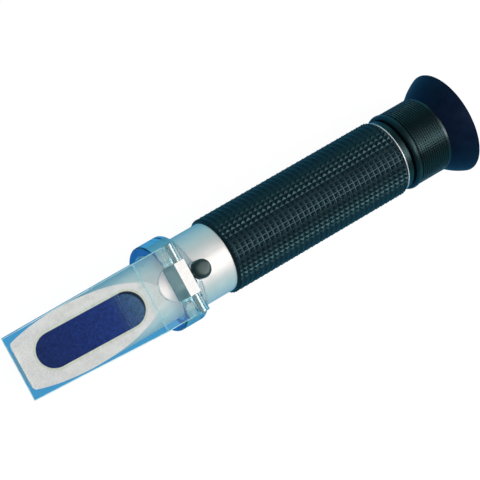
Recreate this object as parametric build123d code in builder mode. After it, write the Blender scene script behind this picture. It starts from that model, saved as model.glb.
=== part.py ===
from build123d import *
import os
from math import asin, cos, degrees, radians, sin, tan

# Handheld optical refractometer, in millimetres.
# +X runs along the optical axis towards the prism, +Z is up, on the side of the
# daylight plate. The origin is under the middle of the instrument, at its lowest
# level. A station is a place along the axis, counted from the middle of the grip,
# and a height is counted from the optical axis.

os.makedirs("parts", exist_ok=True)

# ---- driving dimensions -------------------------------------------------------

EYECUP_RADIUS = 19.3
EYECUP_BACK = -68.1
PLATE_FRONT = 122.5

GRIP_RADIUS = 14.5
GRIP_BACK = -39.1
GRIP_FRONT = 39.3
GRIP_BEVEL = 1.4
END_RING_WIDTH = 0.35
END_RING_HEIGHT = 0.65
GRIP_END_RADIUS = 13.6

BARREL_RADIUS = 13.25
BARREL_BORE = 11.25
BARREL_BACK = -39.7
BARREL_FRONT = 63.0
LINER_RADIUS = 11.2
LINER_BORE = 10.5

HEAD_RADIUS = 12.0
HEAD_FRONT = 119.3
FACE_SLOPE = 21.9
FACE_CROSSING = 99.1
WINDOW_MIDDLE = 94.3
WINDOW_LENGTH = 41.2
WINDOW_WIDTH = 12.9
PRISM_SLAB = 2.6
CEMENT_WIDTH = 0.85
LIGHT_BORE = 5.0

COLLAR_BACK = 54.5
COLLAR_FRONT = 64.3
COLLAR_RADIUS = 16.4
COLLAR_BORE = 13.3
COLLAR_LIP = 56.8
COLLAR_TOP = 14.1
COLLAR_FOOT = -15.5
COLLAR_ROUNDING = 0.8
FOOT_PAD = 0.4
FOOT_HALF_WIDTH = 4.8

HINGE_STATION = 60.2
HINGE_HEIGHT = 16.6
HINGE_PIN_RADIUS = 0.8
KNUCKLE_RADIUS = 2.3
BLOCK_HALF_WIDTH = 6.3
BLOCK_TOP = 18.5

PLATE_HALF_WIDTH = 13.2
PLATE_FRONT_HALF_WIDTH = 12.0
PLATE_THICKNESS = 4.6
PLATE_GAP = 0.3
PLATE_LEVEL = 15.1
PLATE_BACK = 64.6
PAD_HALF_WIDTH = 7.5
PAD_STEP = 0.5

CAP_STATION = 53.2
CAP_RADIUS = 3.45
CAP_TOP = 18.4
BUSH_RADIUS = 2.5
BUSH_TOP = 15.4
SCREW_RADIUS = 1.0

CARRIAGE_BACK = 47.5
CARRIAGE_FRONT = 55.5
CARRIAGE_HALF_WIDTH = 6.45
CARRIAGE_HALF_HEIGHT = 7.2
OBJECTIVE_RADIUS = 5.15

NECK_RADIUS = 13.4
NECK_BACK = -42.0
SLEEVE_RADIUS = 11.5
SLEEVE_BACK = -52.0
CELL_RADIUS = 9.5
CELL_BORE = 8.0
JOURNAL_RADIUS = 8.8

BEAD_RADIUS = 14.7
BEAD_FRONT = -42.9
FOCUS_RADIUS = 14.4
KNURL_FRONT = -45.6
KNURL_BACK = -58.3
BOSS_RADIUS = 12.4
EYECUP_FRONT = -59.2

RUNNING = 0.05  # radial clearance of every running fit
TOUCH = 0.1  # gap between pieces that stop just short of each other

# ---- planes, axes and outlines shared by the pieces ------------------------------

AXIS_HEIGHT = EYECUP_RADIUS
MIDDLE = (EYECUP_BACK + PLATE_FRONT) / 2
SLOPE = radians(FACE_SLOPE)

LENGTHWISE = Plane(origin=(-MIDDLE, 0, AXIS_HEIGHT), x_dir=(1, 0, 0), z_dir=(0, -1, 0))
OPTICAL_AXIS = Axis((0, 0, AXIS_HEIGHT), (1, 0, 0))


def across(station):
    """Plane square to the optical axis, facing the prism end."""
    return Plane(origin=(station - MIDDLE, 0, AXIS_HEIGHT), x_dir=(0, 1, 0), z_dir=(1, 0, 0))


def above(station, height):
    """Level plane at a station and a height, facing up."""
    return Plane(origin=(station - MIDDLE, 0, AXIS_HEIGHT + height), x_dir=(1, 0, 0), z_dir=(0, 0, 1))


def face_height(station, lift=0.0):
    """Height of the sloping prism face, or of a plane lifted square off it."""
    return (FACE_CROSSING - station) * tan(SLOPE) + lift / cos(SLOPE)


def on_face(station, lift=0.0):
    """Plane on the sloping prism face, with its local x running down to the front."""
    return Plane(
        origin=(station - MIDDLE, 0, AXIS_HEIGHT + face_height(station, lift)),
        x_dir=(cos(SLOPE), 0, -sin(SLOPE)),
        z_dir=(sin(SLOPE), 0, cos(SLOPE)),
    )


def outline(*corners):
    """Face in the lengthwise plane from (station, height) corners."""
    with BuildSketch(LENGTHWISE) as face:
        with BuildLine():
            Polyline(*corners, close=True)
        make_face()
    return face.sketch


def disc(plane, outer, inner=0.0):
    """Disc or ring on a plane, about its origin."""
    with BuildSketch(plane) as ring:
        Circle(outer)
        if inner > 0:
            Circle(inner, mode=Mode.SUBTRACT)
    return ring.sketch


def rib(plane, x_start, x_end, y_start, y_end):
    """Rectangle on a plane between two local x and two local y values."""
    with BuildSketch(plane) as patch:
        with Locations(((x_start + x_end) / 2, (y_start + y_end) / 2)):
            Rectangle(x_end - x_start, y_end - y_start)
    return patch.sketch


def lens_half(back, front, radius, back_bulge, front_bulge):
    """Half section of a lens whose rim runs from back to front."""
    with BuildSketch(LENGTHWISE) as half:
        with BuildLine():
            edges = []
            for rim, bulge, way in ((front, front_bulge, 1), (back, back_bulge, -1)):
                if bulge > 0:
                    curve = (radius**2 + bulge**2) / (2 * bulge)
                    swing = way * degrees(asin(radius / curve))
                    edges.append(JernArc((rim + way * bulge, 0), (0, 1), curve, swing))
                else:
                    edges.append(Line((rim, 0), (rim, radius)))
            Line(edges[0] @ 1, edges[1] @ 1)
            Line(edges[0] @ 0, edges[1] @ 0)
        make_face()
    return half.sketch


pieces = {}

# ---- prism head -----------------------------------------------------------------

SPIGOT_BACK = 57.0
GROOVE_START = 59.4
GROOVE_END = 60.6
GROOVE_FLOOR = 10.4
EXIT_FACE = 78.0
WEDGE_FRONT = 107.0
WEDGE_FLOOR = -7.0
WEDGE_HALF_WIDTH = 5.0
WEDGE_ROOM = 0.4
TRAP_THICKNESS = 0.8
SKY = 30.0  # any height well above the instrument

with BuildPart() as prism_head:
    extrude(disc(across(BARREL_FRONT), HEAD_RADIUS), amount=HEAD_FRONT - BARREL_FRONT)
    chamfer(prism_head.edges().group_by(Axis.X)[-1], length=0.6)
    extrude(disc(across(SPIGOT_BACK), LINER_RADIUS), amount=BARREL_FRONT - SPIGOT_BACK)
    # O-ring groove
    revolve(
        outline(
            (GROOVE_START, GROOVE_FLOOR),
            (GROOVE_END, GROOVE_FLOOR),
            (GROOVE_END, LINER_RADIUS + 1),
            (GROOVE_START, LINER_RADIUS + 1),
        ),
        axis=OPTICAL_AXIS,
        mode=Mode.SUBTRACT,
    )
    # sloping face
    extrude(
        outline(
            (FACE_CROSSING - SKY / tan(SLOPE), SKY),
            (HEAD_FRONT + 1, face_height(HEAD_FRONT + 1)),
            (HEAD_FRONT + 1, SKY),
        ),
        amount=HEAD_RADIUS + 1,
        both=True,
        mode=Mode.SUBTRACT,
    )
    # pocket for the glass and its cement, then the deeper one for the wedge
    with BuildSketch(on_face(WINDOW_MIDDLE)):
        SlotOverall(WINDOW_LENGTH + 2 * CEMENT_WIDTH, WINDOW_WIDTH + 2 * CEMENT_WIDTH)
    extrude(amount=-PRISM_SLAB, mode=Mode.SUBTRACT)
    extrude(
        outline(
            (EXIT_FACE - WEDGE_ROOM, face_height(EXIT_FACE, -1)),
            (EXIT_FACE - WEDGE_ROOM, WEDGE_FLOOR - TRAP_THICKNESS - TOUCH),
            (WEDGE_FRONT + WEDGE_ROOM, WEDGE_FLOOR - TRAP_THICKNESS - TOUCH),
            (WEDGE_FRONT + WEDGE_ROOM, face_height(WEDGE_FRONT + WEDGE_ROOM, -1)),
        ),
        amount=WEDGE_HALF_WIDTH + WEDGE_ROOM,
        both=True,
        mode=Mode.SUBTRACT,
    )
    # light path from the prism to the barrel
    extrude(disc(across(SPIGOT_BACK), LIGHT_BORE), amount=EXIT_FACE - SPIGOT_BACK, mode=Mode.SUBTRACT)
pieces["prism_head"] = prism_head

with BuildPart() as main_prism:
    with BuildSketch(on_face(WINDOW_MIDDLE)):
        SlotOverall(WINDOW_LENGTH, WINDOW_WIDTH)
    extrude(amount=-PRISM_SLAB)
    extrude(
        outline(
            (EXIT_FACE, face_height(EXIT_FACE, -1)),
            (EXIT_FACE, WEDGE_FLOOR),
            (WEDGE_FRONT, WEDGE_FLOOR),
            (WEDGE_FRONT, face_height(WEDGE_FRONT, -1)),
        ),
        amount=WEDGE_HALF_WIDTH,
        both=True,
    )
pieces["main_prism"] = main_prism

with BuildPart() as prism_cement:
    with BuildSketch(on_face(WINDOW_MIDDLE)):
        SlotOverall(WINDOW_LENGTH + 2 * CEMENT_WIDTH, WINDOW_WIDTH + 2 * CEMENT_WIDTH)
        SlotOverall(WINDOW_LENGTH, WINDOW_WIDTH, mode=Mode.SUBTRACT)
    extrude(amount=-PRISM_SLAB)
pieces["prism_cement"] = prism_cement

with BuildPart() as light_trap:
    extrude(
        rib(
            above(0, WEDGE_FLOOR - TRAP_THICKNESS - TOUCH),
            EXIT_FACE,
            WEDGE_FRONT,
            -WEDGE_HALF_WIDTH,
            WEDGE_HALF_WIDTH,
        ),
        amount=TRAP_THICKNESS,
    )
pieces["light_trap"] = light_trap

with BuildPart() as head_o_ring:
    with BuildSketch(LENGTHWISE):
        with Locations(((GROOVE_START + GROOVE_END) / 2, (GROOVE_FLOOR + BARREL_BORE) / 2)):
            Circle((BARREL_BORE - GROOVE_FLOOR) / 2 - 0.01)
    revolve(axis=OPTICAL_AXIS)
pieces["head_o_ring"] = head_o_ring

# ---- barrel and grip --------------------------------------------------------------

GRUB_STATION = 60.5
GRUB_RADIUS = 1.0
GRUB_ANGLES = (-130.0, -50.0)

with BuildPart() as barrel_tube:
    extrude(disc(across(BARREL_BACK), BARREL_RADIUS, BARREL_BORE), amount=BARREL_FRONT - BARREL_BACK)
    extrude(disc(above(CAP_STATION, 0), BUSH_RADIUS), amount=SKY, mode=Mode.SUBTRACT)
pieces["barrel_tube"] = barrel_tube

with BuildPart() as grip_sleeve:
    revolve(
        outline(
            (GRIP_BACK, BARREL_RADIUS),
            (GRIP_BACK, GRIP_END_RADIUS),
            (GRIP_BACK + GRIP_BEVEL, GRIP_RADIUS),
            (GRIP_FRONT - GRIP_BEVEL, GRIP_RADIUS),
            (GRIP_FRONT, GRIP_END_RADIUS),
            (GRIP_FRONT, BARREL_RADIUS),
        ),
        axis=OPTICAL_AXIS,
    )
pieces["grip_sleeve"] = grip_sleeve

with BuildPart() as grip_end_ring:
    extrude(
        disc(across(GRIP_BACK - END_RING_WIDTH), BARREL_RADIUS + END_RING_HEIGHT, BARREL_RADIUS),
        amount=END_RING_WIDTH,
    )
pieces["grip_end_ring"] = grip_end_ring

# ---- clear hinge collar -------------------------------------------------------------

BLOCK_BACK = 58.3
BLOCK_CREST = 62.6
BLOCK_FRONT = 65.2
BLOCK_LOW = 13.4
CAP_ROOM = 0.5

with BuildPart() as hinge_collar:
    extrude(disc(across(COLLAR_BACK), COLLAR_RADIUS), amount=COLLAR_FRONT - COLLAR_BACK)
    fillet(hinge_collar.edges(), radius=COLLAR_ROUNDING)
    # flattened top ahead of the rear lip, and flattened underside
    extrude(
        rib(above(0, COLLAR_TOP), COLLAR_LIP, COLLAR_FRONT + 1, -SKY, SKY),
        amount=SKY,
        mode=Mode.SUBTRACT,
    )
    extrude(
        rib(above(0, COLLAR_FOOT + FOOT_PAD), COLLAR_BACK - 1, COLLAR_FRONT + 1, -SKY, SKY),
        amount=-SKY,
        mode=Mode.SUBTRACT,
    )
    # the foot is a pad with straight edges, clear of the rounding, so that it stands firmly
    extrude(
        rib(
            above(0, COLLAR_FOOT),
            COLLAR_BACK + COLLAR_ROUNDING,
            COLLAR_FRONT - COLLAR_ROUNDING,
            -FOOT_HALF_WIDTH,
            FOOT_HALF_WIDTH,
        ),
        amount=2 * FOOT_PAD,
    )
    # hinge block
    extrude(
        outline(
            (BLOCK_BACK, COLLAR_TOP - 0.4),
            (BLOCK_BACK, BLOCK_TOP),
            (BLOCK_CREST, BLOCK_TOP),
            (BLOCK_FRONT, BLOCK_LOW),
            (COLLAR_FRONT - 0.4, BLOCK_LOW),
            (COLLAR_FRONT - 0.4, COLLAR_TOP - 0.4),
        ),
        amount=BLOCK_HALF_WIDTH,
        both=True,
    )
    # bore for the barrel, hole for the pin, room for the cap
    extrude(
        disc(across(COLLAR_BACK), COLLAR_BORE),
        amount=COLLAR_FRONT - COLLAR_BACK,
        mode=Mode.SUBTRACT,
    )
    with BuildSketch(LENGTHWISE):
        with Locations((HINGE_STATION, HINGE_HEIGHT)):
            Circle(HINGE_PIN_RADIUS)
    extrude(amount=SKY, both=True, mode=Mode.SUBTRACT)
    extrude(disc(above(CAP_STATION, 0), CAP_RADIUS + CAP_ROOM), amount=SKY, mode=Mode.SUBTRACT)
    # radial holes for the grub screws
    for angle in GRUB_ANGLES:
        tilt = radians(angle)
        out = Plane(
            origin=(GRUB_STATION - MIDDLE, 0, AXIS_HEIGHT),
            x_dir=(1, 0, 0),
            z_dir=(0, cos(tilt), sin(tilt)),
        )
        extrude(disc(out, GRUB_RADIUS), amount=SKY, mode=Mode.SUBTRACT)
pieces["hinge_collar"] = hinge_collar

with BuildPart() as collar_grub_screws:
    for angle in GRUB_ANGLES:
        tilt = radians(angle)
        seat = Plane(
            origin=(GRUB_STATION - MIDDLE, 0, AXIS_HEIGHT),
            x_dir=(1, 0, 0),
            z_dir=(0, cos(tilt), sin(tilt)),
        ).offset(BARREL_RADIUS)
        extrude(disc(seat, GRUB_RADIUS), amount=2.6)
        with BuildSketch(seat.offset(1.8)):
            RegularPolygon(radius=0.55, side_count=6)
        extrude(amount=1.0, mode=Mode.SUBTRACT)
pieces["collar_grub_screws"] = collar_grub_screws

with BuildPart() as hinge_pin:
    with BuildSketch(LENGTHWISE):
        with Locations((HINGE_STATION, HINGE_HEIGHT)):
            Circle(HINGE_PIN_RADIUS)
    extrude(amount=PLATE_HALF_WIDTH, both=True)
pieces["hinge_pin"] = hinge_pin

# ---- daylight plate -------------------------------------------------------------------

SLOT_HALF_WIDTH = BLOCK_HALF_WIDTH + 2 * TOUCH
SLOT_END = 63.6
PLATE_TOP_LIFT = PLATE_GAP + PLATE_THICKNESS
KINK = FACE_CROSSING - (PLATE_LEVEL - PLATE_TOP_LIFT / cos(SLOPE)) / tan(SLOPE)
PLATE_FRONT_LOW = PLATE_FRONT - PLATE_THICKNESS * sin(SLOPE)
ARM_BOTTOM = COLLAR_TOP + 0.25
GUSSET_FRONT = 65.3
GUSSET_TOP = 17.2
MOULD_LINE = 0.35
CROSS_LINE = 82.4
SIDE_LINE = 10.75
LINE_GAP = 0.45
EDGE_BREAK = 0.3
KINK_FLAT = 0.8


def on_sloping_top(edge):
    """Whether an edge bounds the plate's sloping top, apart from its line with the level top."""
    for corner in edge.vertices():
        height = face_height(corner.X + MIDDLE, PLATE_TOP_LIFT)
        if abs(corner.Z - AXIS_HEIGHT - height) > 0.01:
            return False
    return edge.center().X + MIDDLE > KINK + 1


with BuildPart() as daylight_plate:
    extrude(
        outline(
            (HINGE_STATION, ARM_BOTTOM),
            (PLATE_BACK, ARM_BOTTOM),
            (PLATE_BACK, face_height(PLATE_BACK, PLATE_GAP)),
            (PLATE_FRONT_LOW, face_height(PLATE_FRONT_LOW, PLATE_GAP)),
            (PLATE_FRONT, face_height(PLATE_FRONT, PLATE_TOP_LIFT)),
            (KINK, PLATE_LEVEL),
            (HINGE_STATION, PLATE_LEVEL),
        ),
        amount=PLATE_HALF_WIDTH,
        both=True,
    )
    # the sides close in from the kink to the front edge
    for side in (-1, 1):
        with BuildSketch(above(0, -SKY)):
            with BuildLine():
                Polyline(
                    (KINK, side * PLATE_HALF_WIDTH),
                    (PLATE_FRONT, side * PLATE_FRONT_HALF_WIDTH),
                    (PLATE_FRONT + 1, side * PLATE_FRONT_HALF_WIDTH),
                    (PLATE_FRONT + 1, side * (PLATE_HALF_WIDTH + 1)),
                    (KINK, side * (PLATE_HALF_WIDTH + 1)),
                    close=True,
                )
            make_face()
        extrude(amount=2 * SKY, mode=Mode.SUBTRACT)
    # broken top edges, and a narrow flat where the level top turns down
    chamfer([edge for edge in daylight_plate.edges() if on_sloping_top(edge)], length=EDGE_BREAK)
    for side in (-1, 1):
        with BuildSketch(across(HINGE_STATION)):
            with BuildLine():
                Polyline(
                    (side * (PLATE_HALF_WIDTH - EDGE_BREAK), PLATE_LEVEL),
                    (side * PLATE_HALF_WIDTH, PLATE_LEVEL - EDGE_BREAK),
                    (side * (PLATE_HALF_WIDTH + 1), PLATE_LEVEL - EDGE_BREAK),
                    (side * (PLATE_HALF_WIDTH + 1), PLATE_LEVEL + 1),
                    (side * (PLATE_HALF_WIDTH - EDGE_BREAK), PLATE_LEVEL + 1),
                    close=True,
                )
            make_face()
        extrude(amount=KINK - HINGE_STATION, mode=Mode.SUBTRACT)
    half_slope = Plane(
        origin=(KINK - MIDDLE, 0, AXIS_HEIGHT + PLATE_LEVEL - KINK_FLAT * sin(SLOPE / 2) / 2),
        x_dir=(cos(SLOPE / 2), 0, -sin(SLOPE / 2)),
        z_dir=(sin(SLOPE / 2), 0, cos(SLOPE / 2)),
    )
    extrude(rib(half_slope, -2, 2, -SKY, SKY), amount=1, mode=Mode.SUBTRACT)
    # knuckle and gussets
    extrude(
        outline(
            (HINGE_STATION, PLATE_LEVEL),
            (GUSSET_FRONT, PLATE_LEVEL),
            (HINGE_STATION + 1.9, GUSSET_TOP),
            (HINGE_STATION, GUSSET_TOP),
        ),
        amount=PLATE_HALF_WIDTH - EDGE_BREAK,
        both=True,
    )
    with BuildSketch(LENGTHWISE):
        with Locations((HINGE_STATION, HINGE_HEIGHT)):
            Circle(KNUCKLE_RADIUS)
    extrude(amount=PLATE_HALF_WIDTH, both=True)
    # slot around the hinge block, with a round end
    with BuildSketch(above(SLOT_END, 0)):
        Circle(SLOT_HALF_WIDTH)
        with Locations((-10, 0)):
            Rectangle(20, 2 * SLOT_HALF_WIDTH)
    extrude(amount=SKY, mode=Mode.SUBTRACT)
    with BuildSketch(LENGTHWISE):
        with Locations((HINGE_STATION, HINGE_HEIGHT)):
            Circle(HINGE_PIN_RADIUS + RUNNING)
    extrude(amount=SKY, both=True, mode=Mode.SUBTRACT)
    # the underside is stepped up beside the pad that lies on the prism
    underside = on_face(CROSS_LINE, PLATE_GAP)
    for side in (-1, 1):
        near, far = sorted((side * PAD_HALF_WIDTH, side * (PLATE_HALF_WIDTH + 1)))
        extrude(rib(underside, -12, 60, near, far), amount=PAD_STEP, mode=Mode.SUBTRACT)
        near, far = side * SIDE_LINE - 0.2, side * SIDE_LINE + 0.2
        extrude(rib(underside, -13.5, 0, near, far), amount=PAD_STEP + MOULD_LINE, mode=Mode.SUBTRACT)
    for place in (-LINE_GAP, LINE_GAP):
        extrude(
            rib(underside, place - 0.15, place + 0.15, -PLATE_HALF_WIDTH, PLATE_HALF_WIDTH),
            amount=PAD_STEP + MOULD_LINE,
            mode=Mode.SUBTRACT,
        )
pieces["daylight_plate"] = daylight_plate

# ---- zero adjustment: cap, bush, screw and objective carriage ---------------------------

BUSH_BOTTOM = 9.2
HEAD_SEAT = 12.6
SCREW_HEAD_RADIUS = 1.5
SCREW_TIP = 5.0
CAP_BOTTOM = 13.45
SEAT_BACK = 46.0
SEAT_FRONT = SPIGOT_BACK - TOUCH
SLOT_HALF_HEIGHT = 7.9
SPRING_FLOOR = -9.9
SPRING_HALF_WIDTH = 2.0
LENS_SEAT = 50.9
OBJECTIVE_BACK = 49.1
BULGE_ROOM = 0.2
STOP_RADIUS = 4.4

with BuildPart() as screw_bush:
    extrude(disc(above(CAP_STATION, BUSH_BOTTOM), BUSH_RADIUS), amount=BUSH_TOP - BUSH_BOTTOM)
    extrude(
        disc(above(CAP_STATION, BUSH_BOTTOM), SCREW_RADIUS + RUNNING),
        amount=BUSH_TOP - BUSH_BOTTOM,
        mode=Mode.SUBTRACT,
    )
    extrude(
        disc(above(CAP_STATION, HEAD_SEAT), SCREW_HEAD_RADIUS + RUNNING),
        amount=BUSH_TOP - HEAD_SEAT,
        mode=Mode.SUBTRACT,
    )
pieces["screw_bush"] = screw_bush

with BuildPart() as calibration_screw:
    extrude(disc(above(CAP_STATION, SCREW_TIP), SCREW_RADIUS), amount=HEAD_SEAT - SCREW_TIP)
    extrude(disc(above(CAP_STATION, HEAD_SEAT + 0.02), SCREW_HEAD_RADIUS), amount=1.2)
    extrude(disc(above(CAP_STATION, HEAD_SEAT), SCREW_RADIUS), amount=0.5)
    # screwdriver slot
    with BuildSketch(above(CAP_STATION, HEAD_SEAT + 0.7)):
        Rectangle(2 * SCREW_HEAD_RADIUS + 1, 0.5)
    extrude(amount=1, mode=Mode.SUBTRACT)
pieces["calibration_screw"] = calibration_screw

with BuildPart() as screw_clip:
    extrude(disc(above(CAP_STATION, BUSH_BOTTOM - 0.55), 1.8, SCREW_RADIUS), amount=0.5)
pieces["screw_clip"] = screw_clip

with BuildPart() as calibration_cap:
    extrude(disc(above(CAP_STATION, CAP_BOTTOM), CAP_RADIUS), amount=CAP_TOP - CAP_BOTTOM)
    fillet(calibration_cap.edges().group_by(Axis.Z)[-1], radius=1.3)
    extrude(
        disc(above(CAP_STATION, CAP_BOTTOM), BUSH_RADIUS + RUNNING),
        amount=BUSH_TOP + TOUCH - CAP_BOTTOM,
        mode=Mode.SUBTRACT,
    )
pieces["calibration_cap"] = calibration_cap

with BuildPart() as objective_seat:
    extrude(disc(across(SEAT_BACK), LINER_RADIUS), amount=SEAT_FRONT - SEAT_BACK)
    # upright guide for the carriage
    with BuildSketch(across(SEAT_BACK)):
        Rectangle(2 * (CARRIAGE_HALF_WIDTH + RUNNING), 2 * SLOT_HALF_HEIGHT)
    extrude(amount=SEAT_FRONT - SEAT_BACK, mode=Mode.SUBTRACT)
    extrude(disc(above(CAP_STATION, 0), BUSH_RADIUS + RUNNING), amount=SKY, mode=Mode.SUBTRACT)
    # pocket for the spring
    extrude(
        rib(
            above(0, SPRING_FLOOR),
            CARRIAGE_BACK,
            CARRIAGE_FRONT,
            -SPRING_HALF_WIDTH - 0.4,
            SPRING_HALF_WIDTH + 0.4,
        ),
        amount=-SLOT_HALF_HEIGHT - SPRING_FLOOR + 1,
        mode=Mode.SUBTRACT,
    )
pieces["objective_seat"] = objective_seat

with BuildPart() as objective_carriage:
    with BuildSketch(across(CARRIAGE_BACK)):
        Rectangle(2 * CARRIAGE_HALF_WIDTH, 2 * CARRIAGE_HALF_HEIGHT)
    extrude(amount=CARRIAGE_FRONT - CARRIAGE_BACK)
    extrude(
        disc(across(CARRIAGE_BACK), OBJECTIVE_RADIUS + RUNNING),
        amount=LENS_SEAT - CARRIAGE_BACK,
        mode=Mode.SUBTRACT,
    )
    extrude(
        disc(across(LENS_SEAT), STOP_RADIUS),
        amount=CARRIAGE_FRONT - LENS_SEAT,
        mode=Mode.SUBTRACT,
    )
    extrude(disc(above(CAP_STATION, 0), SCREW_RADIUS + RUNNING), amount=SKY, mode=Mode.SUBTRACT)
pieces["objective_carriage"] = objective_carriage

with BuildPart() as objective_lens:
    revolve(
        lens_half(OBJECTIVE_BACK, LENS_SEAT - BULGE_ROOM, OBJECTIVE_RADIUS, 0.5, 0.5),
        axis=OPTICAL_AXIS,
    )
pieces["objective_lens"] = objective_lens

with BuildPart() as objective_retaining_ring:
    extrude(
        disc(across(OBJECTIVE_BACK - BULGE_ROOM - 1), OBJECTIVE_RADIUS, STOP_RADIUS),
        amount=1.0,
    )
pieces["objective_retaining_ring"] = objective_retaining_ring

with BuildPart() as carriage_spring:
    with BuildSketch(LENGTHWISE):
        with BuildLine():
            ends = (CARRIAGE_BACK + 0.4, CARRIAGE_FRONT - 0.4)
            crest = (sum(ends) / 2, -CARRIAGE_HALF_HEIGHT - TOUCH)
            bow = ThreePointArc((ends[0], SPRING_FLOOR + 0.35), crest, (ends[1], SPRING_FLOOR + 0.35))
            under = ThreePointArc(
                (ends[0] + 0.1, SPRING_FLOOR + 0.1),
                (crest[0], crest[1] - 0.25),
                (ends[1] - 0.1, SPRING_FLOOR + 0.1),
            )
            Line(bow @ 0, under @ 0)
            Line(bow @ 1, under @ 1)
        make_face()
    extrude(amount=SPRING_HALF_WIDTH, both=True)
pieces["carriage_spring"] = carriage_spring

# ---- barrel liners and reticle -------------------------------------------------------------

BAFFLE_BACK = 18.2
BAFFLE_THICKNESS = 1.5
BAFFLE_BORE = 6.5
RETICLE_CELL_BACK = -33.3
RETICLE_CELL_FRONT = -28.4
RETICLE_SEAT = -31.6
RETICLE_RADIUS = 9.0
RETICLE_THICKNESS = 1.4
FIELD_STOP = 7.6

with BuildPart() as front_spacer_tube:
    front_start = BAFFLE_BACK + BAFFLE_THICKNESS + TOUCH
    extrude(
        disc(across(front_start), LINER_RADIUS, LINER_BORE),
        amount=SEAT_BACK - TOUCH - front_start,
    )
pieces["front_spacer_tube"] = front_spacer_tube

with BuildPart() as front_baffle:
    extrude(disc(across(BAFFLE_BACK), LINER_RADIUS, BAFFLE_BORE), amount=BAFFLE_THICKNESS)
pieces["front_baffle"] = front_baffle

with BuildPart() as rear_spacer_tube:
    rear_start = RETICLE_CELL_FRONT + TOUCH
    extrude(
        disc(across(rear_start), LINER_RADIUS, LINER_BORE),
        amount=BAFFLE_BACK - TOUCH - rear_start,
    )
pieces["rear_spacer_tube"] = rear_spacer_tube

with BuildPart() as reticle_cell:
    revolve(
        outline(
            (RETICLE_CELL_BACK, FIELD_STOP),
            (RETICLE_CELL_BACK, LINER_RADIUS),
            (RETICLE_CELL_FRONT, LINER_RADIUS),
            (RETICLE_CELL_FRONT, RETICLE_RADIUS + RUNNING),
            (RETICLE_SEAT, RETICLE_RADIUS + RUNNING),
            (RETICLE_SEAT, FIELD_STOP),
        ),
        axis=OPTICAL_AXIS,
    )
pieces["reticle_cell"] = reticle_cell

with BuildPart() as reticle:
    extrude(disc(across(RETICLE_SEAT), RETICLE_RADIUS), amount=RETICLE_THICKNESS)
pieces["reticle"] = reticle

with BuildPart() as reticle_retaining_ring:
    extrude(
        disc(across(RETICLE_SEAT + RETICLE_THICKNESS), RETICLE_RADIUS, FIELD_STOP),
        amount=1.5,
    )
pieces["reticle_retaining_ring"] = reticle_retaining_ring

# ---- eyepiece: fixed neck, sliding lens cell, turning focus ring ------------------------------

NECK_FRONT = -33.5
NECK_GROOVE_BACK = -50.2
NECK_GROOVE_FRONT = -49.0
NECK_GROOVE_FLOOR = 10.7
CELL_FRONT = -34.6
CELL_LIP = -35.8
CELL_LIP_RADIUS = 7.2
CELL_SHOULDER = -55.0
CELL_BACK = -58.6
LENS_RADIUS = CELL_BORE - RUNNING
FIELD_LENS_BACK = -38.5
EYE_LENS_FRONT = -51.5
EYE_LENS_BACK = -54.0
SPACER_ROOM = 0.4
RETAINER_FRONT = -57.3
RETAINER_RADIUS = 10.6
WEB_FRONT = CELL_SHOULDER - TOUCH
WEB_BACK = RETAINER_FRONT + TOUCH
BOSS_BACK = -61.2
BOSS_BORE = 11.0

with BuildPart() as eyepiece_neck:
    revolve(
        outline(
            (NECK_FRONT, CELL_RADIUS + RUNNING),
            (NECK_FRONT, LINER_RADIUS),
            (BARREL_BACK, LINER_RADIUS),
            (BARREL_BACK, NECK_RADIUS),
            (NECK_BACK, NECK_RADIUS),
            (NECK_BACK, SLEEVE_RADIUS),
            (NECK_GROOVE_FRONT, SLEEVE_RADIUS),
            (NECK_GROOVE_FRONT, NECK_GROOVE_FLOOR),
            (NECK_GROOVE_BACK, NECK_GROOVE_FLOOR),
            (NECK_GROOVE_BACK, SLEEVE_RADIUS),
            (SLEEVE_BACK, SLEEVE_RADIUS),
            (SLEEVE_BACK, CELL_RADIUS + RUNNING),
        ),
        axis=OPTICAL_AXIS,
    )
pieces["eyepiece_neck"] = eyepiece_neck

with BuildPart() as neck_o_ring:
    with BuildSketch(LENGTHWISE):
        with Locations(((NECK_GROOVE_BACK + NECK_GROOVE_FRONT) / 2, NECK_GROOVE_FLOOR + 0.42)):
            Circle(0.4)
    revolve(axis=OPTICAL_AXIS)
pieces["neck_o_ring"] = neck_o_ring

with BuildPart() as eyepiece_cell:
    revolve(
        outline(
            (CELL_FRONT, CELL_LIP_RADIUS),
            (CELL_FRONT, CELL_RADIUS),
            (CELL_SHOULDER, CELL_RADIUS),
            (CELL_SHOULDER, JOURNAL_RADIUS),
            (CELL_BACK, JOURNAL_RADIUS),
            (CELL_BACK, CELL_BORE),
            (CELL_LIP, CELL_BORE),
            (CELL_LIP, CELL_LIP_RADIUS),
        ),
        axis=OPTICAL_AXIS,
    )
pieces["eyepiece_cell"] = eyepiece_cell

with BuildPart() as field_lens:
    revolve(lens_half(FIELD_LENS_BACK, CELL_LIP - TOUCH, LENS_RADIUS, 1.5, 0), axis=OPTICAL_AXIS)
pieces["field_lens"] = field_lens

with BuildPart() as lens_spacer:
    extrude(
        disc(across(EYE_LENS_FRONT + SPACER_ROOM), LENS_RADIUS, CELL_LIP_RADIUS),
        amount=FIELD_LENS_BACK - EYE_LENS_FRONT - 2 * SPACER_ROOM,
    )
pieces["lens_spacer"] = lens_spacer

with BuildPart() as eye_lens:
    revolve(lens_half(EYE_LENS_BACK, EYE_LENS_FRONT, LENS_RADIUS, 0, 1.5), axis=OPTICAL_AXIS)
pieces["eye_lens"] = eye_lens

with BuildPart() as eye_lens_ring:
    extrude(disc(across(EYE_LENS_BACK - TOUCH - 1.5), LENS_RADIUS, 6.8), amount=1.5)
pieces["eye_lens_ring"] = eye_lens_ring

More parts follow.
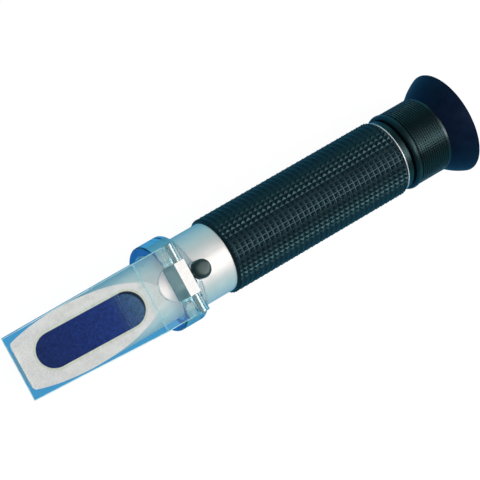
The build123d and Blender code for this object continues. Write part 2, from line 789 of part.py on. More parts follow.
with BuildPart() as focus_ring_retainer:
    extrude(disc(across(RETAINER_FRONT - 1.2), RETAINER_RADIUS, JOURNAL_RADIUS), amount=1.2)
pieces["focus_ring_retainer"] = focus_ring_retainer

with BuildPart() as focus_ring:
    with BuildSketch(LENGTHWISE):
        with BuildLine():
            bead = ThreePointArc(
                (BEAD_FRONT, FOCUS_RADIUS - 1.0),
                ((BEAD_FRONT + KNURL_FRONT) / 2, BEAD_RADIUS),
                (KNURL_FRONT, FOCUS_RADIUS - 0.6),
            )
            Polyline(
                bead @ 1,
                (KNURL_FRONT - 0.3, FOCUS_RADIUS),
                (KNURL_BACK + 0.3, FOCUS_RADIUS),
                (KNURL_BACK, FOCUS_RADIUS - 0.3),
                (KNURL_BACK, BOSS_RADIUS),
                (BOSS_BACK, BOSS_RADIUS),
                (BOSS_BACK, BOSS_BORE),
                (WEB_BACK, BOSS_BORE),
                (WEB_BACK, JOURNAL_RADIUS + RUNNING),
                (WEB_FRONT, JOURNAL_RADIUS + RUNNING),
                (WEB_FRONT, CELL_RADIUS + 0.2),
                (SLEEVE_BACK - 1, CELL_RADIUS + 0.2),
                (SLEEVE_BACK - 1, SLEEVE_RADIUS + RUNNING),
                (BEAD_FRONT, SLEEVE_RADIUS + RUNNING),
                bead @ 0,
            )
        make_face()
    revolve(axis=OPTICAL_AXIS)
pieces["focus_ring"] = focus_ring

with BuildPart() as eyecup_ring:
    extrude(disc(across(EYECUP_FRONT), FOCUS_RADIUS - 0.4, BOSS_RADIUS), amount=KNURL_BACK - EYECUP_FRONT)
pieces["eyecup_ring"] = eyecup_ring

with BuildPart() as eyecup:
    with BuildSketch(LENGTHWISE):
        with BuildLine():
            flare = ThreePointArc(
                (EYECUP_FRONT, 13.6),
                (-63.75, 17.15),
                (EYECUP_BACK, EYECUP_RADIUS),
            )
            rim = Line(flare @ 1, (EYECUP_BACK, EYECUP_RADIUS - 0.8))
            hollow = ThreePointArc(rim @ 1, (-65.2, 16.3), (-62.4, 13.6))
            Polyline(
                hollow @ 1,
                (-62.4, 9.2),
                (BOSS_BACK, 9.2),
                (BOSS_BACK, BOSS_RADIUS),
                (EYECUP_FRONT, BOSS_RADIUS),
                flare @ 0,
            )
        make_face()
    revolve(axis=OPTICAL_AXIS)
pieces["eyecup"] = eyecup

# ---- one STEP file for each piece ----------------------------------------------------------

for name, piece in pieces.items():
    piece.part.label = name
    export_step(piece.part, f"parts/{name}.step")
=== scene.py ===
import math

import bpy
from mathutils import Matrix, Vector


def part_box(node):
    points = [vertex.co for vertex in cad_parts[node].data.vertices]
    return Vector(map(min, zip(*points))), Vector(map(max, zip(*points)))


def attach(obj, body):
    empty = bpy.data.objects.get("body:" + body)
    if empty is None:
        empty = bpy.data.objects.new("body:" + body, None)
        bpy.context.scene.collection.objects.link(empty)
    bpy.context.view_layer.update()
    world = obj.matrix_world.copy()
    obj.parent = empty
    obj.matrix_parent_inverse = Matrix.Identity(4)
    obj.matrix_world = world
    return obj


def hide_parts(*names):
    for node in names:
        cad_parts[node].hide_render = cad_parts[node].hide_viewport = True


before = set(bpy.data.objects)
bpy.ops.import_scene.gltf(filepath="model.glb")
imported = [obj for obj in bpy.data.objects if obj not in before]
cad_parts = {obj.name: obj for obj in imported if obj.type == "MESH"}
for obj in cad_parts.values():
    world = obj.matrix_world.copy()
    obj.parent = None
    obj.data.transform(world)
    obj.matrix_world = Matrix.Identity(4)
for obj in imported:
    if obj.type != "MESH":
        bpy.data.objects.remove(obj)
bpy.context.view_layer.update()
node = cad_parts

MM = 0.001

# The optical axis runs along X at the height of the eyecup's centre. A station is
# a place along it in millimetres, counted from the middle of the grip.
cup_low, cup_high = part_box("eyecup")
grip_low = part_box("grip_sleeve")[0]
AXIS_Z = (cup_low.z + cup_high.z) / 2
GRIP_BACK, GRIP_FRONT = -39.1, 39.3
ORIGIN_X = grip_low.x - GRIP_BACK * MM


def at(station, y, height):
    """Point in the row frame from a station, a side distance and a height in mm."""
    return Vector((ORIGIN_X + station * MM, y * MM, AXIS_Z + height * MM))


def placed(point):
    """Station, side distance and height in mm of a point in the row frame."""
    return (point.x - ORIGIN_X) / MM, point.y / MM, (point.z - AXIS_Z) / MM


# ---- camera ---------------------------------------------------------------------

RIGHT = Vector((-0.77792, 0.47265, 0.41405))
UP = Vector((-0.45276, -0.87853, 0.15221))
BACK = Vector((0.43571, -0.06906, 0.89743))
LENS_MM = 262.5
DISTANCE, SHIFT_RIGHT, SHIFT_UP = 1.2433, -0.02131, -0.01169

camera_data = bpy.data.cameras.new("camera")
camera_data.lens = LENS_MM
camera_data.sensor_width = 36.0
camera_data.clip_start = 0.05
camera_data.clip_end = 40.0
camera = bpy.data.objects.new("camera", camera_data)
bpy.context.scene.collection.objects.link(camera)
spot = at(0, 0, 0) + BACK * DISTANCE + RIGHT * SHIFT_RIGHT + UP * SHIFT_UP
turn = Matrix((RIGHT, UP, BACK)).transposed().to_4x4()
camera.matrix_world = Matrix.Translation(spot) @ turn
bpy.context.scene.camera = camera

# ---- materials ------------------------------------------------------------------


class Shade:
    """A node material, with short ways to add the nodes used here."""

    def __init__(self, name, **sockets):
        self.material = bpy.data.materials.new(name)
        self.material.use_nodes = True
        self.tree = self.material.node_tree
        self.surface = self.tree.nodes["Principled BSDF"]
        for key, value in sockets.items():
            self.surface.inputs[key.replace("_", " ")].default_value = value
        self.place = self.tree.nodes.new("ShaderNodeTexCoord").outputs["Object"]

    def add(self, kind, **inputs):
        made = self.tree.nodes.new("ShaderNode" + kind)
        for key, value in inputs.items():
            self.put(made.inputs[key.replace("_", " ")], value)
        return made

    def put(self, socket, value):
        if isinstance(value, bpy.types.NodeSocket):
            self.tree.links.new(value, socket)
        else:
            socket.default_value = value

    def stretched(self, scale):
        """Object coordinates scaled by a different amount along each axis."""
        mapping = self.add("Mapping", Vector=self.place)
        mapping.inputs["Scale"].default_value = scale
        return mapping.outputs[0]

    def noise(self, scale, detail=3.0, place=None, roughness=0.5):
        made = self.add(
            "TexNoise", Vector=place or self.place, Scale=scale, Detail=detail, Roughness=roughness
        )
        return made.outputs["Fac"]

    def ramp(self, source, *stops):
        made = self.add("ValToRGB", Fac=source)
        bar = made.color_ramp
        while len(bar.elements) < len(stops):
            bar.elements.new(0.5)
        for element, (position, colour) in zip(bar.elements, stops):
            element.position = position
            element.color = (*colour, 1.0) if len(colour) == 3 else colour
        return made.outputs["Color"]

    def math(self, operation, first, second=0.0, third=0.0, clamp=False):
        made = self.add("Math")
        made.operation = operation
        made.use_clamp = clamp
        for socket, value in zip(made.inputs, (first, second, third)):
            self.put(socket, value)
        return made.outputs[0]

    def bump(self, height, strength, distance):
        made = self.add("Bump", Height=height, Strength=strength, Distance=distance)
        self.put(self.surface.inputs["Normal"], made.outputs["Normal"])

    def drive(self, socket, value):
        self.put(self.surface.inputs[socket], value)


def satin_metal(name, low, high, roughness, rings=2600.0, metallic=1.0):
    """Turned metal: fine rings round the X axis and a faint cloudiness."""
    shade = Shade(name, Metallic=metallic, Roughness=roughness)
    turned = shade.noise(1.0, 4.0, shade.stretched((rings, 60, 60)))
    cloud = shade.noise(170.0, 3.0)
    shade.drive("Base Color", shade.ramp(cloud, (0.3, low), (0.7, high)))
    spread = shade.math("MULTIPLY_ADD", turned, 0.12, roughness - 0.06)
    shade.drive("Roughness", spread)
    shade.bump(turned, 0.10, 0.00004)
    return shade.material


def lapped_face():
    """The aluminium face round the prism, with a mottle of fine scuffs."""
    shade = Shade("satin_aluminium_face", Metallic=0.2, Roughness=0.55)
    scuffs = shade.noise(1300.0, 6.0, roughness=0.75)
    cloud = shade.math("MULTIPLY", shade.noise(170.0, 3.0), 0.35)
    wear = shade.math("MULTIPLY_ADD", scuffs, 0.65, cloud)
    shade.drive(
        "Base Color",
        shade.ramp(
            wear,
            (0.38, (0.79, 0.77, 0.75)),
            (0.52, (0.93, 0.90, 0.88)),
            (0.64, (0.99, 0.96, 0.94)),
        ),
    )
    shade.drive("Roughness", shade.math("MULTIPLY_ADD", scuffs, 0.2, 0.45))
    shade.bump(scuffs, 0.12, 0.00005)
    return shade.material


def rubber(name, low, high, roughness, specular=0.5, tint=(1.0, 1.0, 1.0)):
    """Moulded rubber: fine grain, with paler bloom in patches."""
    shade = Shade(name, Specular_IOR_Level=specular, Specular_Tint=(*tint, 1.0))
    grain = shade.noise(5200.0, 3.0)
    bloom = shade.noise(260.0, 4.0)
    shade.drive("Base Color", shade.ramp(bloom, (0.35, low), (0.7, high)))
    shade.drive("Roughness", shade.math("MULTIPLY_ADD", bloom, 0.16, roughness - 0.08))
    shade.bump(grain, 0.14, 0.00005)
    return shade.material


ALUMINIUM = satin_metal(
    "satin_aluminium_turned", (0.86, 0.83, 0.81), (0.92, 0.89, 0.87), 0.57, metallic=0.68
)
HEAD_FACE = lapped_face()
END_RING = satin_metal("ring_aluminium", (0.50, 0.54, 0.55), (0.66, 0.70, 0.70), 0.4, metallic=0.3)
DARK_RING = satin_metal("dark_ring", (0.035, 0.050, 0.055), (0.060, 0.075, 0.080), 0.36)
STEEL = satin_metal("bright_steel", (0.55, 0.56, 0.58), (0.68, 0.69, 0.70), 0.25, 1500.0)
BRASS = satin_metal("machined_brass", (0.62, 0.44, 0.18), (0.76, 0.58, 0.28), 0.3, 1500.0)

TEAL = (0.50, 0.92, 1.0)
NAVY = (0.30, 0.50, 1.0)
GRIP_RUBBER = rubber(
    "grip_rubber", (0.0015, 0.0050, 0.0085), (0.0030, 0.0085, 0.0130), 0.34, 0.5, TEAL
)
CUP_RUBBER = rubber(
    "eyecup_rubber", (0.0018, 0.0048, 0.0150), (0.0032, 0.0080, 0.0220), 0.44, 0.30, NAVY
)
CAP_RUBBER = rubber(
    "cap_plastic", (0.014, 0.026, 0.026), (0.020, 0.036, 0.036), 0.34, 0.6, (0.8, 1.0, 1.0)
)
NITRILE = rubber("nitrile", (0.010, 0.010, 0.010), (0.020, 0.020, 0.020), 0.55)
ANODISED = rubber(
    "black_anodised", (0.0020, 0.0060, 0.0080), (0.0035, 0.0090, 0.0110), 0.34, 0.45, TEAL
)
BLACKENED = rubber("blackened_metal", (0.012, 0.013, 0.015), (0.022, 0.023, 0.026), 0.7, 0.3)


ACRYLIC_IOR = 1.49


def clear_plastic(name, colour, roughness):
    """Clear moulded acrylic with a few faint flow marks."""
    shade = Shade(
        name, Roughness=roughness, IOR=ACRYLIC_IOR, Transmission_Weight=1.0, Specular_IOR_Level=0.35
    )
    flow = shade.noise(60.0, 2.0)
    pale = tuple(min(1.0, c * 1.02) for c in colour)
    shade.drive("Base Color", shade.ramp(flow, (0.3, colour), (0.7, pale)))
    shade.bump(flow, 0.04, 0.0003)
    return shade.material


# station where the plate bends from level to sloping, and half the width of its change of tint
KINK, KINK_BLEND = 74.67, 0.3


def plate_plastic():
    """Clear acrylic, tinted more deeply in the thick level part at its rear; this deeper tint is
    partly painted shade for the teal shading seen through it.
    """
    shade = Shade(
        "plate_clear",
        Roughness=0.02,
        IOR=ACRYLIC_IOR,
        Transmission_Weight=1.0,
        Specular_IOR_Level=0.4,
    )
    along = shade.add("SeparateXYZ", Vector=shade.place).outputs["X"]
    start, end = at(KINK - KINK_BLEND, 0, 0).x, at(KINK + KINK_BLEND, 0, 0).x
    share = shade.math("DIVIDE", shade.math("SUBTRACT", along, start), end - start, clamp=True)
    # painted shade: the level part's deeper teal tint stands in partly for the shading seen through
    # it
    level_tint_with_shade, sloping_tint = (0.86, 0.94, 0.945), (0.98, 0.985, 0.98)
    shade.drive("Base Color", shade.ramp(share, (0.0, level_tint_with_shade), (1.0, sloping_tint)))
    shade.bump(shade.noise(60.0, 2.0), 0.04, 0.0003)
    return shade.material


PLATE_CLEAR = plate_plastic()
COLLAR_CLEAR = clear_plastic("collar_clear", (0.80, 0.93, 0.98), 0.05)
LENS_GLASS = clear_plastic("lens_glass", (0.93, 0.96, 0.97), 0.0)


def frosted(name, colour, roughness, clear):
    """Matt moulded face of a clear piece, which still lets some light through; most of its colour
    is painted highlight and shade.
    """
    shade = Shade(name, Roughness=roughness, IOR=ACRYLIC_IOR, Transmission_Weight=clear)
    speckle = shade.noise(1500.0, 2.0)
    pale = tuple(min(1.0, c * 1.12) for c in colour)
    shade.drive("Base Color", shade.ramp(speckle, (0.35, colour), (0.65, pale)))
    shade.bump(speckle, 0.2, 0.0001)
    return shade.material


# painted highlight: pale frost on the plate's chamfered edges and slot walls, for the bright lines
# that light draws there
EDGE_HIGHLIGHT_PAINT = frosted("plate_edge_painted_highlight", (0.66, 0.90, 0.94), 0.4, 0.45)
# painted shade: grey-teal frost on the groove and pad walls, for the thin dark lines seen there
GROOVE_SHADE_PAINT = frosted("plate_line_painted_shade", (0.46, 0.60, 0.62), 0.5, 0.25)
# painted shade: teal frost on the narrow face at the fold, for the line the fold draws
FOLD_SHADE_PAINT = frosted("plate_fold_painted_shade", (0.40, 0.66, 0.72), 0.25, 0.75)
# frosted top of the hinge block; its pale pinkish white is partly a painted highlight of the bright
# barrel seen through it
BLOCK_TOP_FROST_AND_HIGHLIGHT = frosted("block_top_frost_and_highlight", (0.84, 0.80, 0.78), 0.55, 0.08)
# painted shade: dark teal on the block's sloping facet
BLOCK_FACET_SHADE_PAINT = frosted("block_facet_painted_shade", (0.30, 0.46, 0.47), 0.22, 0.5)
# painted blue light: royal blue on the collar's front face, for the blue light seen through the
# clear collar
COLLAR_FACE_BLUE_LIGHT_PAINT = frosted("collar_face_painted_blue_light", (0.035, 0.19, 0.60), 0.3, 0.35)
# painted shade: teal grey on the collar's flat facets
COLLAR_FLAT_SHADE_PAINT = frosted("collar_flat_painted_shade", (0.17, 0.43, 0.52), 0.3, 0.4)
# painted highlight: pale cream streak on the gusset slopes
GUSSET_HIGHLIGHT_PAINT = frosted("gusset_painted_highlight", (0.78, 0.86, 0.84), 0.22, 0.82)


def speckled():
    """Clear plastic with small dark speckles."""
    shade = Shade("dark_speckle", Roughness=0.15, IOR=ACRYLIC_IOR)
    flecks = shade.noise(900.0, 3.0, roughness=0.7)
    for socket, fleck, clear in (
        ("Base Color", (0.10, 0.16, 0.17), (0.80, 0.90, 0.92)),
        ("Transmission Weight", (0.2, 0.2, 0.2), (0.9, 0.9, 0.9)),
    ):
        shade.drive(socket, shade.ramp(flecks, (0.40, fleck), (0.50, clear)))
    shade.bump(flecks, 0.5, 0.0002)
    return shade.material


DARK_SPECKLE = speckled()


# the prism's sloping face crosses the optical axis at this station; its window starts at the rear
FACE_CROSSING, FACE_SLOPE = 99.1, math.radians(21.9)
WINDOW_REAR = 75.2
# crescent of shade: where its inner circle is centred, that circle's radius, how sharp and dark
CRESCENT_STATION, CRESCENT_SIDE, CRESCENT_RADIUS = WINDOW_REAR + 7.1, 0.9, 6.6 * MM
CRESCENT_SHARPNESS, CRESCENT_DEPTH = 2200.0, 0.85


def face_height(station):
    """Height of the sloping prism face above the optical axis."""
    return (FACE_CROSSING - station) * math.tan(FACE_SLOPE)


def prism_glass():
    """Deep blue glass, paler at its rear end, with a fine mottle."""
    shade = Shade("prism_glass", Roughness=0.12, IOR=1.5, Specular_IOR_Level=0.3)
    low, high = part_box("main_prism")
    along = shade.add("SeparateXYZ", Vector=shade.place).outputs["X"]
    share = shade.math("DIVIDE", shade.math("SUBTRACT", along, low.x), high.x - low.x)
    base = shade.ramp(
        share,
        (0.0, (0.090, 0.190, 0.340)),
        (0.14, (0.055, 0.120, 0.260)),
        (0.28, (0.018, 0.048, 0.240)),
        (0.6, (0.012, 0.034, 0.190)),
        (1.0, (0.009, 0.026, 0.130)),
    )
    mottle = shade.noise(900.0, 5.0, roughness=0.7)
    dark = shade.math("MULTIPLY_ADD", mottle, 1.8, -0.04)
    # crescent of shade under the rear end of the window
    heart = at(CRESCENT_STATION, CRESCENT_SIDE, face_height(CRESCENT_STATION))
    reach = shade.tree.nodes.new("ShaderNodeVectorMath")
    reach.operation = "DISTANCE"
    shade.put(reach.inputs[0], shade.place)
    reach.inputs[1].default_value = heart
    edge = shade.math("SUBTRACT", reach.outputs["Value"], CRESCENT_RADIUS)
    behind = shade.math("GREATER_THAN", heart.x - MM, along)
    outside = shade.math("MULTIPLY", edge, CRESCENT_SHARPNESS, clamp=True)
    shadow = shade.math("MULTIPLY", outside, behind)
    lit = shade.math("SUBTRACT", 1.0, shade.math("MULTIPLY", shadow, CRESCENT_DEPTH))
    tinted = shade.tree.nodes.new("ShaderNodeVectorMath")
    tinted.operation = "SCALE"
    shade.put(tinted.inputs[0], base)
    shade.put(tinted.inputs["Scale"], shade.math("MULTIPLY", dark, lit))
    shade.drive("Base Color", tinted.outputs[0])
    shade.bump(mottle, 0.05, 0.0001)
    return shade.material


PRISM_GLASS = prism_glass()

cement = Shade("cement", Roughness=0.5)
cement.drive(
    "Base Color",
    cement.ramp(cement.noise(900.0), (0.3, (0.66, 0.70, 0.58)), (0.7, (0.84, 0.86, 0.74))),
)
CEMENT = cement.material

FINISH = {
    "prism_head": ALUMINIUM,
    "barrel_tube": ALUMINIUM,
    "grip_end_ring": END_RING,
    "eyecup_ring": DARK_RING,
    "main_prism": PRISM_GLASS,
    "prism_cement": CEMENT,
    "light_trap": BLACKENED,
    "head_o_ring": NITRILE,
    "neck_o_ring": NITRILE,
    "hinge_collar": COLLAR_CLEAR,
    "daylight_plate": PLATE_CLEAR,
    "collar_grub_screws": STEEL,
    "hinge_pin": STEEL,
    "carriage_spring": STEEL,
    "screw_clip": STEEL,
    "grip_sleeve": GRIP_RUBBER,
    "eyecup": CUP_RUBBER,
    "screw_bush": BRASS,
    "calibration_screw": BRASS,
    "calibration_cap": CAP_RUBBER,
    "eyepiece_neck": ANODISED,
    "focus_ring": ANODISED,
    "objective_lens": LENS_GLASS,
    "reticle": LENS_GLASS,
    "field_lens": LENS_GLASS,
    "eye_lens": LENS_GLASS,
}

for name, solid in node.items():
    solid.data.materials.clear()
    solid.data.materials.append(FINISH.get(name, BLACKENED))

# moulded faces of the clear pieces, most coloured with painted highlights and shade
BLOCK_TOP, BLOCK_HALF_WIDTH, BLOCK_LOW = 18.5, 6.3, 13.4
COLLAR_FRONT, COLLAR_TOP = 64.3, 14.1
PLATE_LEVEL, SLOT_HALF_WIDTH, GUSSET_FRONT = 15.1, 6.5, 65.3
COLLAR_LIP, COLLAR_RADIUS = 56.8, 16.4
PAD_BACK, PAD_FRONT, PAD_HALF_WIDTH = 66.0, 121.0, 11.5
SLOT_END, SLOT_LOW = 71.0, 14.3
EDGE_SIDE, EDGE_FRONT = 11.0, 120.0
# how close in mm the middle of a face has to be to a place to count as lying there
NEAR = 0.1


def paint_faces(name, material, wanted):
    """Give a second material to the faces that a test of place and normal picks out."""
    mesh = node[name].data
    mesh.materials.append(material)
    for face in mesh.polygons:
        if wanted(*placed(face.center), face.normal):
            face.material_index = len(mesh.materials) - 1


# frosted top of the block, partly a painted highlight
paint_faces("hinge_collar", BLOCK_TOP_FROST_AND_HIGHLIGHT, lambda s, y, h, n: n.z > 0.9 and h > BLOCK_TOP - NEAR)
# painted shade on the block's sloping facet
paint_faces(
    "hinge_collar",
    BLOCK_FACET_SHADE_PAINT,
    lambda s, y, h, n: (
        n.x > 0.7 and n.z > 0.2 and h > BLOCK_LOW and abs(y) < BLOCK_HALF_WIDTH + NEAR
    ),
)
# painted blue light on the collar's front face
paint_faces(
    "hinge_collar", COLLAR_FACE_BLUE_LIGHT_PAINT, lambda s, y, h, n: n.x > 0.9 and abs(s - COLLAR_FRONT) < NEAR
)
# painted shade on the collar's flat facets
paint_faces(
    "hinge_collar",
    COLLAR_FLAT_SHADE_PAINT,
    lambda s, y, h, n: (
        0.40 < n.z < 0.75 and abs(n.x) < 0.1 and math.hypot(y, h) > COLLAR_RADIUS - 0.3
    ),
)
# dark speckles on the top of the collar lip's front face
paint_faces(
    "hinge_collar",
    DARK_SPECKLE,
    lambda s, y, h, n: n.x > 0.9 and abs(s - COLLAR_LIP) < NEAR and h > COLLAR_TOP - NEAR,
)

ACROSS_SLOPE = Vector((math.sin(FACE_SLOPE), 0.0, math.cos(FACE_SLOPE)))
HALF_SLOPE = Vector((math.sin(FACE_SLOPE / 2), 0.0, math.cos(FACE_SLOPE / 2)))


def is_broken_edge(s, y, h, n):
    """Chamfers of the plate's top edges, halfway between its top and a side or the front."""
    top = Vector((0, 0, 1)) if s < KINK else ACROSS_SLOPE
    return 0.6 < n.dot(top) < 0.8 and (abs(y) > EDGE_SIDE or s > EDGE_FRONT)


def is_groove_wall(s, y, h, n):
    """Walls of the fine cross grooves, and the side walls of the pad in the underside."""
    is_wall = abs(n.dot(ACROSS_SLOPE)) < 0.2
    return is_wall and PAD_BACK <= s <= PAD_FRONT and abs(y) < PAD_HALF_WIDTH


paint_faces("prism_head", HEAD_FACE, lambda s, y, h, n: n.dot(ACROSS_SLOPE) > 0.98)
# painted highlight on the chamfered top edges
paint_faces("daylight_plate", EDGE_HIGHLIGHT_PAINT, is_broken_edge)
# painted shade on the walls of the cross grooves and the pad
paint_faces("daylight_plate", GROOVE_SHADE_PAINT, is_groove_wall)
# painted highlight on the walls of the slot
paint_faces(
    "daylight_plate",
    EDGE_HIGHLIGHT_PAINT,
    lambda s, y, h, n: (
        abs(n.z) < 0.2
        and GUSSET_FRONT < s < SLOT_END
        and abs(y) < SLOT_HALF_WIDTH + NEAR
        and h > SLOT_LOW
    ),
)
# painted highlight on the gusset slopes
paint_faces(
    "daylight_plate",
    GUSSET_HIGHLIGHT_PAINT,
    lambda s, y, h, n: n.x > 0.4 and n.z > 0.7 and s < GUSSET_FRONT and h > PLATE_LEVEL,
)
# painted shade line along the fold
paint_faces("daylight_plate", FOLD_SHADE_PAINT, lambda s, y, h, n: n.dot(HALF_SLOPE) > 0.998)

# clear pieces let the lamps through
for name in ("daylight_plate", "hinge_collar"):
    node[name].visible_shadow = False

# ---- meshes -----------------------------------------------------------------------


def new_piece(name, points, faces, material, body, smooth=False):
    """Mesh object that rides on a body and takes its finish from a slot."""
    mesh = bpy.data.meshes.new(name)
    mesh.from_pydata(points, [], faces)
    mesh.materials.append(material)
    if smooth:
        mesh.shade_smooth()
    mesh.validate()
    piece = bpy.data.objects.new(name, mesh)
    bpy.context.scene.collection.objects.link(piece)
    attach(piece, body)
    return piece


def round_points(rings, count):
    """Rings of points about the optical axis from (station, radius) pairs."""
    points = []
    for station, radius in rings:
        for k in range(count):
            angle = 2 * math.pi * k / count
            points.append(at(station, radius * math.cos(angle), radius * math.sin(angle)))
    return points


def ring_faces(first, second, count, flip=False):
    """Quads between two rings of points that start at the given indices."""
    faces = []
    for k in range(count):
        after = (k + 1) % count
        quad = (first + k, first + after, second + after, second + k)
        faces.append(quad[::-1] if flip else quad)
    return faces


def lathe(name, profile, material, body, count=144):
    """Closed outline of (station, radius) pairs turned about the optical axis."""
    faces = []
    for i in range(len(profile)):
        after = (i + 1) % len(profile)
        faces += ring_faces(i * count, after * count, count)
    piece = new_piece(name, round_points(profile, count), faces, material, body, True)
    modifier = piece.modifiers.new("edges", "EDGE_SPLIT")
    modifier.split_angle = math.radians(32)
    return piece


def studded_sleeve(
    name, back, front, envelope, bore, cells, depth, groove, tip, material, body
):
    """Sleeve whose outside is a field of square pyramids between narrow flat grooves.

    cells is the number of rows and of pyramids around; groove and tip are half the width of a
    groove and of a pyramid's flat tip, as shares of a cell.
    """
    rows, around = cells
    cuts = (0.0, groove, 0.5 - tip, 0.5 + tip, 1.0 - groove)
    peak = (0, 0, 1, 1, 0)
    count = around * len(cuts)
    pitch = (front - back) / rows
    rings = [(back + (i + c) * pitch, p) for i in range(rows) for c, p in zip(cuts, peak)]
    rings.append((front, 0))
    points = []
    for station, high in rings:
        top = envelope(station)
        for k in range(count):
            cell, cut = divmod(k, len(cuts))
            angle = 2 * math.pi * (cell + cuts[cut]) / around
            radius = top if high and peak[cut] else max(top - depth, bore + 0.05)
            points.append(at(station, radius * math.cos(angle), radius * math.sin(angle)))
    faces = []
    for i in range(len(rings) - 1):
        ring_cut = i % len(cuts)
        for k in range(count):
            cut = k % len(cuts)
            a, b = i * count + k, i * count + (k + 1) % count
            d, c = a + count, b + count
            if ring_cut in (1, 3) and cut in (1, 3):
                if ring_cut == cut:
                    faces += [(a, b, c), (a, c, d)]
                else:
                    faces += [(a, b, d), (b, c, d)]
            else:
                faces.append((a, b, c, d))
    # ends and bore
    inner = len(points)
    for station in (back, front):
        for k in range(count):
            cell, cut = divmod(k, len(cuts))
            angle = 2 * math.pi * (cell + cuts[cut]) / around
            points.append(at(station, bore * math.cos(angle), bore * math.sin(angle)))
    last = (len(rings) - 1) * count
    faces += ring_faces(inner, 0, count)
    faces += ring_faces(last, inner + count, count)
    faces += ring_faces(inner + count, inner, count)
    return new_piece(name, points, faces, material, body)


# ---- grip ---------------------------------------------------------------------------

GRIP_RADIUS, GRIP_END_RADIUS, GRIP_BEVEL, BARREL_RADIUS = 14.5, 13.9, 0.8, 13.25


def grip_envelope(station):
    """Radius over the pyramids' tips, less over the bevel at each end."""
    reach = min(station - GRIP_BACK, GRIP_FRONT - station)
    share = min(1.0, max(0.0, reach / GRIP_BEVEL))
    return GRIP_END_RADIUS + (GRIP_RADIUS - GRIP_END_RADIUS) * share


grip = studded_sleeve(
    "grip_studs", GRIP_BACK, GRIP_FRONT, grip_envelope, BARREL_RADIUS,
    (34, 50), 0.45, 0.07, 0.05, GRIP_RUBBER, "body",
)
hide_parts("grip_sleeve")

# ---- zero-adjustment cap ----------------------------------------------------------------

CAP_STATION, CAP_RADIUS, CAP_BOTTOM, CAP_TOP = 53.2, 3.45, 13.45, 18.4
CAP_BORE, CAP_BORE_TOP, CAP_SHOULDER = 2.55, 15.5, 16.9
CAP_BREAK, CAP_STEPS = 0.15, 16


def cap_profile():
    """Half outline of the domed cap as (radius, height) pairs, from its foot to its crown."""
    points = [
        (CAP_BORE, CAP_BOTTOM),
        (CAP_RADIUS - CAP_BREAK, CAP_BOTTOM),
        (CAP_RADIUS, CAP_BOTTOM + CAP_BREAK),
    ]
    rise = CAP_TOP - CAP_SHOULDER
    for i in range(CAP_STEPS):
        angle = math.pi / 2 * i / CAP_STEPS
        out = math.cos(angle) ** 0.55
        points.append((CAP_RADIUS * out, CAP_SHOULDER + rise * math.sin(angle) ** 0.8))
    return points


def cap_mesh(count=64):
    """Points and faces of the cap, turned about its own upright axis, with a blind bore."""
    profile = cap_profile()
    points, faces = [], []
    for radius, height in [*profile, (CAP_BORE, CAP_BORE_TOP)]:
        for k in range(count):
            angle = 2 * math.pi * k / count
            out, side = radius * math.cos(angle), radius * math.sin(angle)
            points.append(at(CAP_STATION + out, side, height))
    last = len(profile) - 1
    for i in range(last):
        faces += ring_faces(i * count, (i + 1) * count, count)
    crown, roof = len(points), len(points) + 1
    points += [at(CAP_STATION, 0, CAP_TOP), at(CAP_STATION, 0, CAP_BORE_TOP)]
    inner = (last + 1) * count
    faces += ring_faces(inner, 0, count)
    for k in range(count):
        after = (k + 1) % count
        faces.append((last * count + k, last * count + after, crown))
        faces.append((inner + after, inner + k, roof))
    return points, faces


cap_points, cap_faces = cap_mesh()
cap = new_piece(
    "zero_cap", cap_points, cap_faces, CAP_RUBBER, "calibration_cap", True
)
cap_edges = cap.modifiers.new("edges", "EDGE_SPLIT")
cap_edges.split_angle = math.radians(40)
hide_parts("calibration_cap")

# ---- focus ring -----------------------------------------------------------------------

BEAD_FRONT, KNURL_FRONT, KNURL_BACK = -42.9, -45.6, -58.3
FOCUS_RADIUS, BEAD_RADIUS, BEAD_RISE = 14.4, 14.7, 1.1
KNURL_BORE, KNURL_GAP = 13.65, 0.15
SLEEVE_BORE, WEB_BORE = 11.55, 8.85


def bead_profile(count):
    """Rounded bead at the front of the focus ring."""
    points = []
    half = (BEAD_FRONT - KNURL_FRONT) / 2
    for i in range(count + 1):
        angle = math.pi * i / count
        station = KNURL_FRONT + half - half * math.cos(angle)
        points.append((station, BEAD_RADIUS - BEAD_RISE + BEAD_RISE * math.sin(angle) ** 0.7))
    return points


focus_profile = [
    (-61.2, 12.4), (-58.3, 12.4), (-58.3, 13.7), (-45.75, 13.7), (-45.6, 13.3),
    *bead_profile(14),
    (-42.9, SLEEVE_BORE), (-53.0, SLEEVE_BORE), (-53.0, 9.7), (-55.1, 9.7),
    (-55.1, WEB_BORE), (-57.2, WEB_BORE), (-57.2, 11.0), (-61.2, 11.0),
]
focus_body = lathe("focus_ring_body", focus_profile, ANODISED, "focus_ring")
focus_knurl = studded_sleeve(
    "focus_ring_knurl", KNURL_BACK, KNURL_FRONT - KNURL_GAP, lambda s: FOCUS_RADIUS, KNURL_BORE,
    (13, 95), 0.26, 0.09, 0.30, ANODISED, "focus_ring",
)
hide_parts("focus_ring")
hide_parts("focus_ring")

# ---- floor, light -----------------------------------------------------------------------


def emission(name, colour, strength):
    shade = Shade(name, Roughness=0.9)
    shade.surface.inputs["Base Color"].default_value = (0.04, 0.04, 0.04, 1.0)
    shade.surface.inputs["Emission Color"].default_value = (*colour, 1.0)
    shade.surface.inputs["Emission Strength"].default_value = strength
    return shade.material


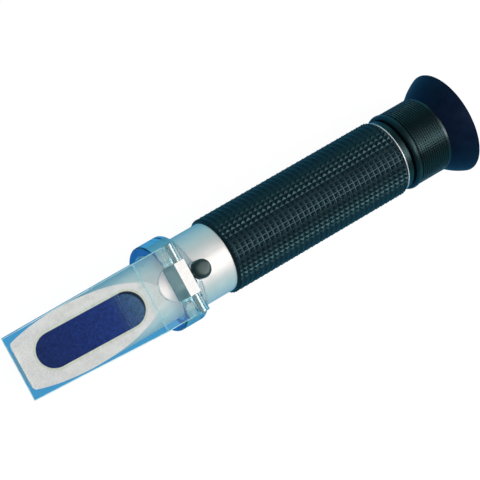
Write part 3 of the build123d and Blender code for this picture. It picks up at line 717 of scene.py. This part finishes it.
floor_points, floor_faces = [], []
SIDES, FLOOR_GAP = 64, 0.2 * MM
FLOOR_RINGS = ((1.5, 0.0), (3.5, 0.0), (4.6, 0.4), (5.0, 1.6), (5.0, 4.0))
for reach, rise in FLOOR_RINGS:
    for k in range(SIDES):
        angle = 2 * math.pi * k / SIDES
        floor_points.append((reach * math.cos(angle), reach * math.sin(angle), rise - FLOOR_GAP))
for ring in range(len(FLOOR_RINGS) - 1):
    floor_faces += ring_faces(ring * SIDES, (ring + 1) * SIDES, SIDES, True)
floor_faces.append(tuple(range(SIDES)))
floor_mesh = bpy.data.meshes.new("floor")
floor_mesh.from_pydata(floor_points, [], floor_faces)
floor_mesh.materials.append(emission("floor_white", (1.0, 1.0, 1.0), 0.96))
floor = bpy.data.objects.new("floor", floor_mesh)
bpy.context.scene.collection.objects.link(floor)
floor.visible_glossy = False
floor.visible_transmission = False
floor.visible_diffuse = False
floor.visible_shadow = False

world = bpy.data.worlds.new("studio")
bpy.context.scene.world = world
world.use_nodes = True
sky_nodes, sky_links = world.node_tree.nodes, world.node_tree.links
sky_place = sky_nodes.new("ShaderNodeTexCoord")
sky_split = sky_nodes.new("ShaderNodeSeparateXYZ")
sky_links.new(sky_place.outputs["Generated"], sky_split.inputs[0])
sky_range = sky_nodes.new("ShaderNodeMath")
sky_range.operation = "MULTIPLY_ADD"
sky_range.inputs[1].default_value = 0.5
sky_range.inputs[2].default_value = 0.5
sky_links.new(sky_split.outputs["Z"], sky_range.inputs[0])
sky_ramp = sky_nodes.new("ShaderNodeValToRGB")
sky_links.new(sky_range.outputs[0], sky_ramp.inputs[0])
sky_bar = sky_ramp.color_ramp.elements
for position, colour in (
    (0.0, (0.06, 0.33, 0.62)),
    (0.25, (0.06, 0.34, 0.60)),
    (0.40, (0.06, 0.34, 0.47)),
    (0.52, (0.10, 0.34, 0.37)),
    (0.66, (0.10, 0.16, 0.18)),
    (1.0, (0.07, 0.08, 0.09)),
):
    if 0.0 < position < 1.0:
        element = sky_bar.new(position)
    else:
        element = sky_bar[0] if position == 0.0 else sky_bar[-1]
    element.color = (*colour, 1.0)
sky_links.new(sky_ramp.outputs["Color"], sky_nodes["Background"].inputs["Color"])
sky_nodes["Background"].inputs["Strength"].default_value = 1.0


def softbox(name, towards, distance, size, glow, colour, glossy=True):
    """Area light in a direction from the object, as bright as glow over its whole face."""
    data = bpy.data.lights.new(name, "AREA")
    data.shape = "RECTANGLE"
    data.size, data.size_y = size
    data.energy = glow * math.pi * size[0] * size[1]
    data.color = colour
    lamp = bpy.data.objects.new(name, data)
    bpy.context.scene.collection.objects.link(lamp)
    lamp.location = Vector(towards).normalized() * distance
    lamp.rotation_euler = Vector(towards).to_track_quat("Z", "Y").to_euler()
    lamp.visible_glossy = glossy
    lamp.visible_transmission = glossy
    return lamp


softbox("key", (-0.436, 0.30, 0.85), 1.1, (0.36, 0.36), 6.5, (1.0, 0.96, 0.94))
softbox("broad", (-0.45, 0.08, 0.9), 1.3, (0.9, 2.0), 1.15, (1.0, 0.94, 0.91))
softbox("left", (-0.42, -1.0, 0.15), 1.3, (1.2, 0.8), 0.32, (0.16, 0.78, 0.80))
softbox("right", (-0.42, 1.0, 0.10), 1.3, (1.2, 0.8), 0.32, (0.08, 0.80, 0.86))
softbox("fill_top", (0.25, 0.0, 1.0), 1.4, (1.0, 1.0), 3.7, (1.0, 0.975, 0.95), False)
softbox("streak", (-0.826, 0.07, 0.56), 1.2, (0.35, 0.6), 4.0, (1.0, 0.98, 0.96))
softbox("fill_left", (0.0, -1.0, 0.25), 1.4, (1.0, 0.7), 1.1, (0.12, 0.56, 0.60), False)
softbox("fill_right", (0.0, 1.0, 0.20), 1.4, (1.0, 0.7), 1.1, (0.08, 0.56, 0.64), False)

bpy.context.scene.view_settings.view_transform = "Standard"
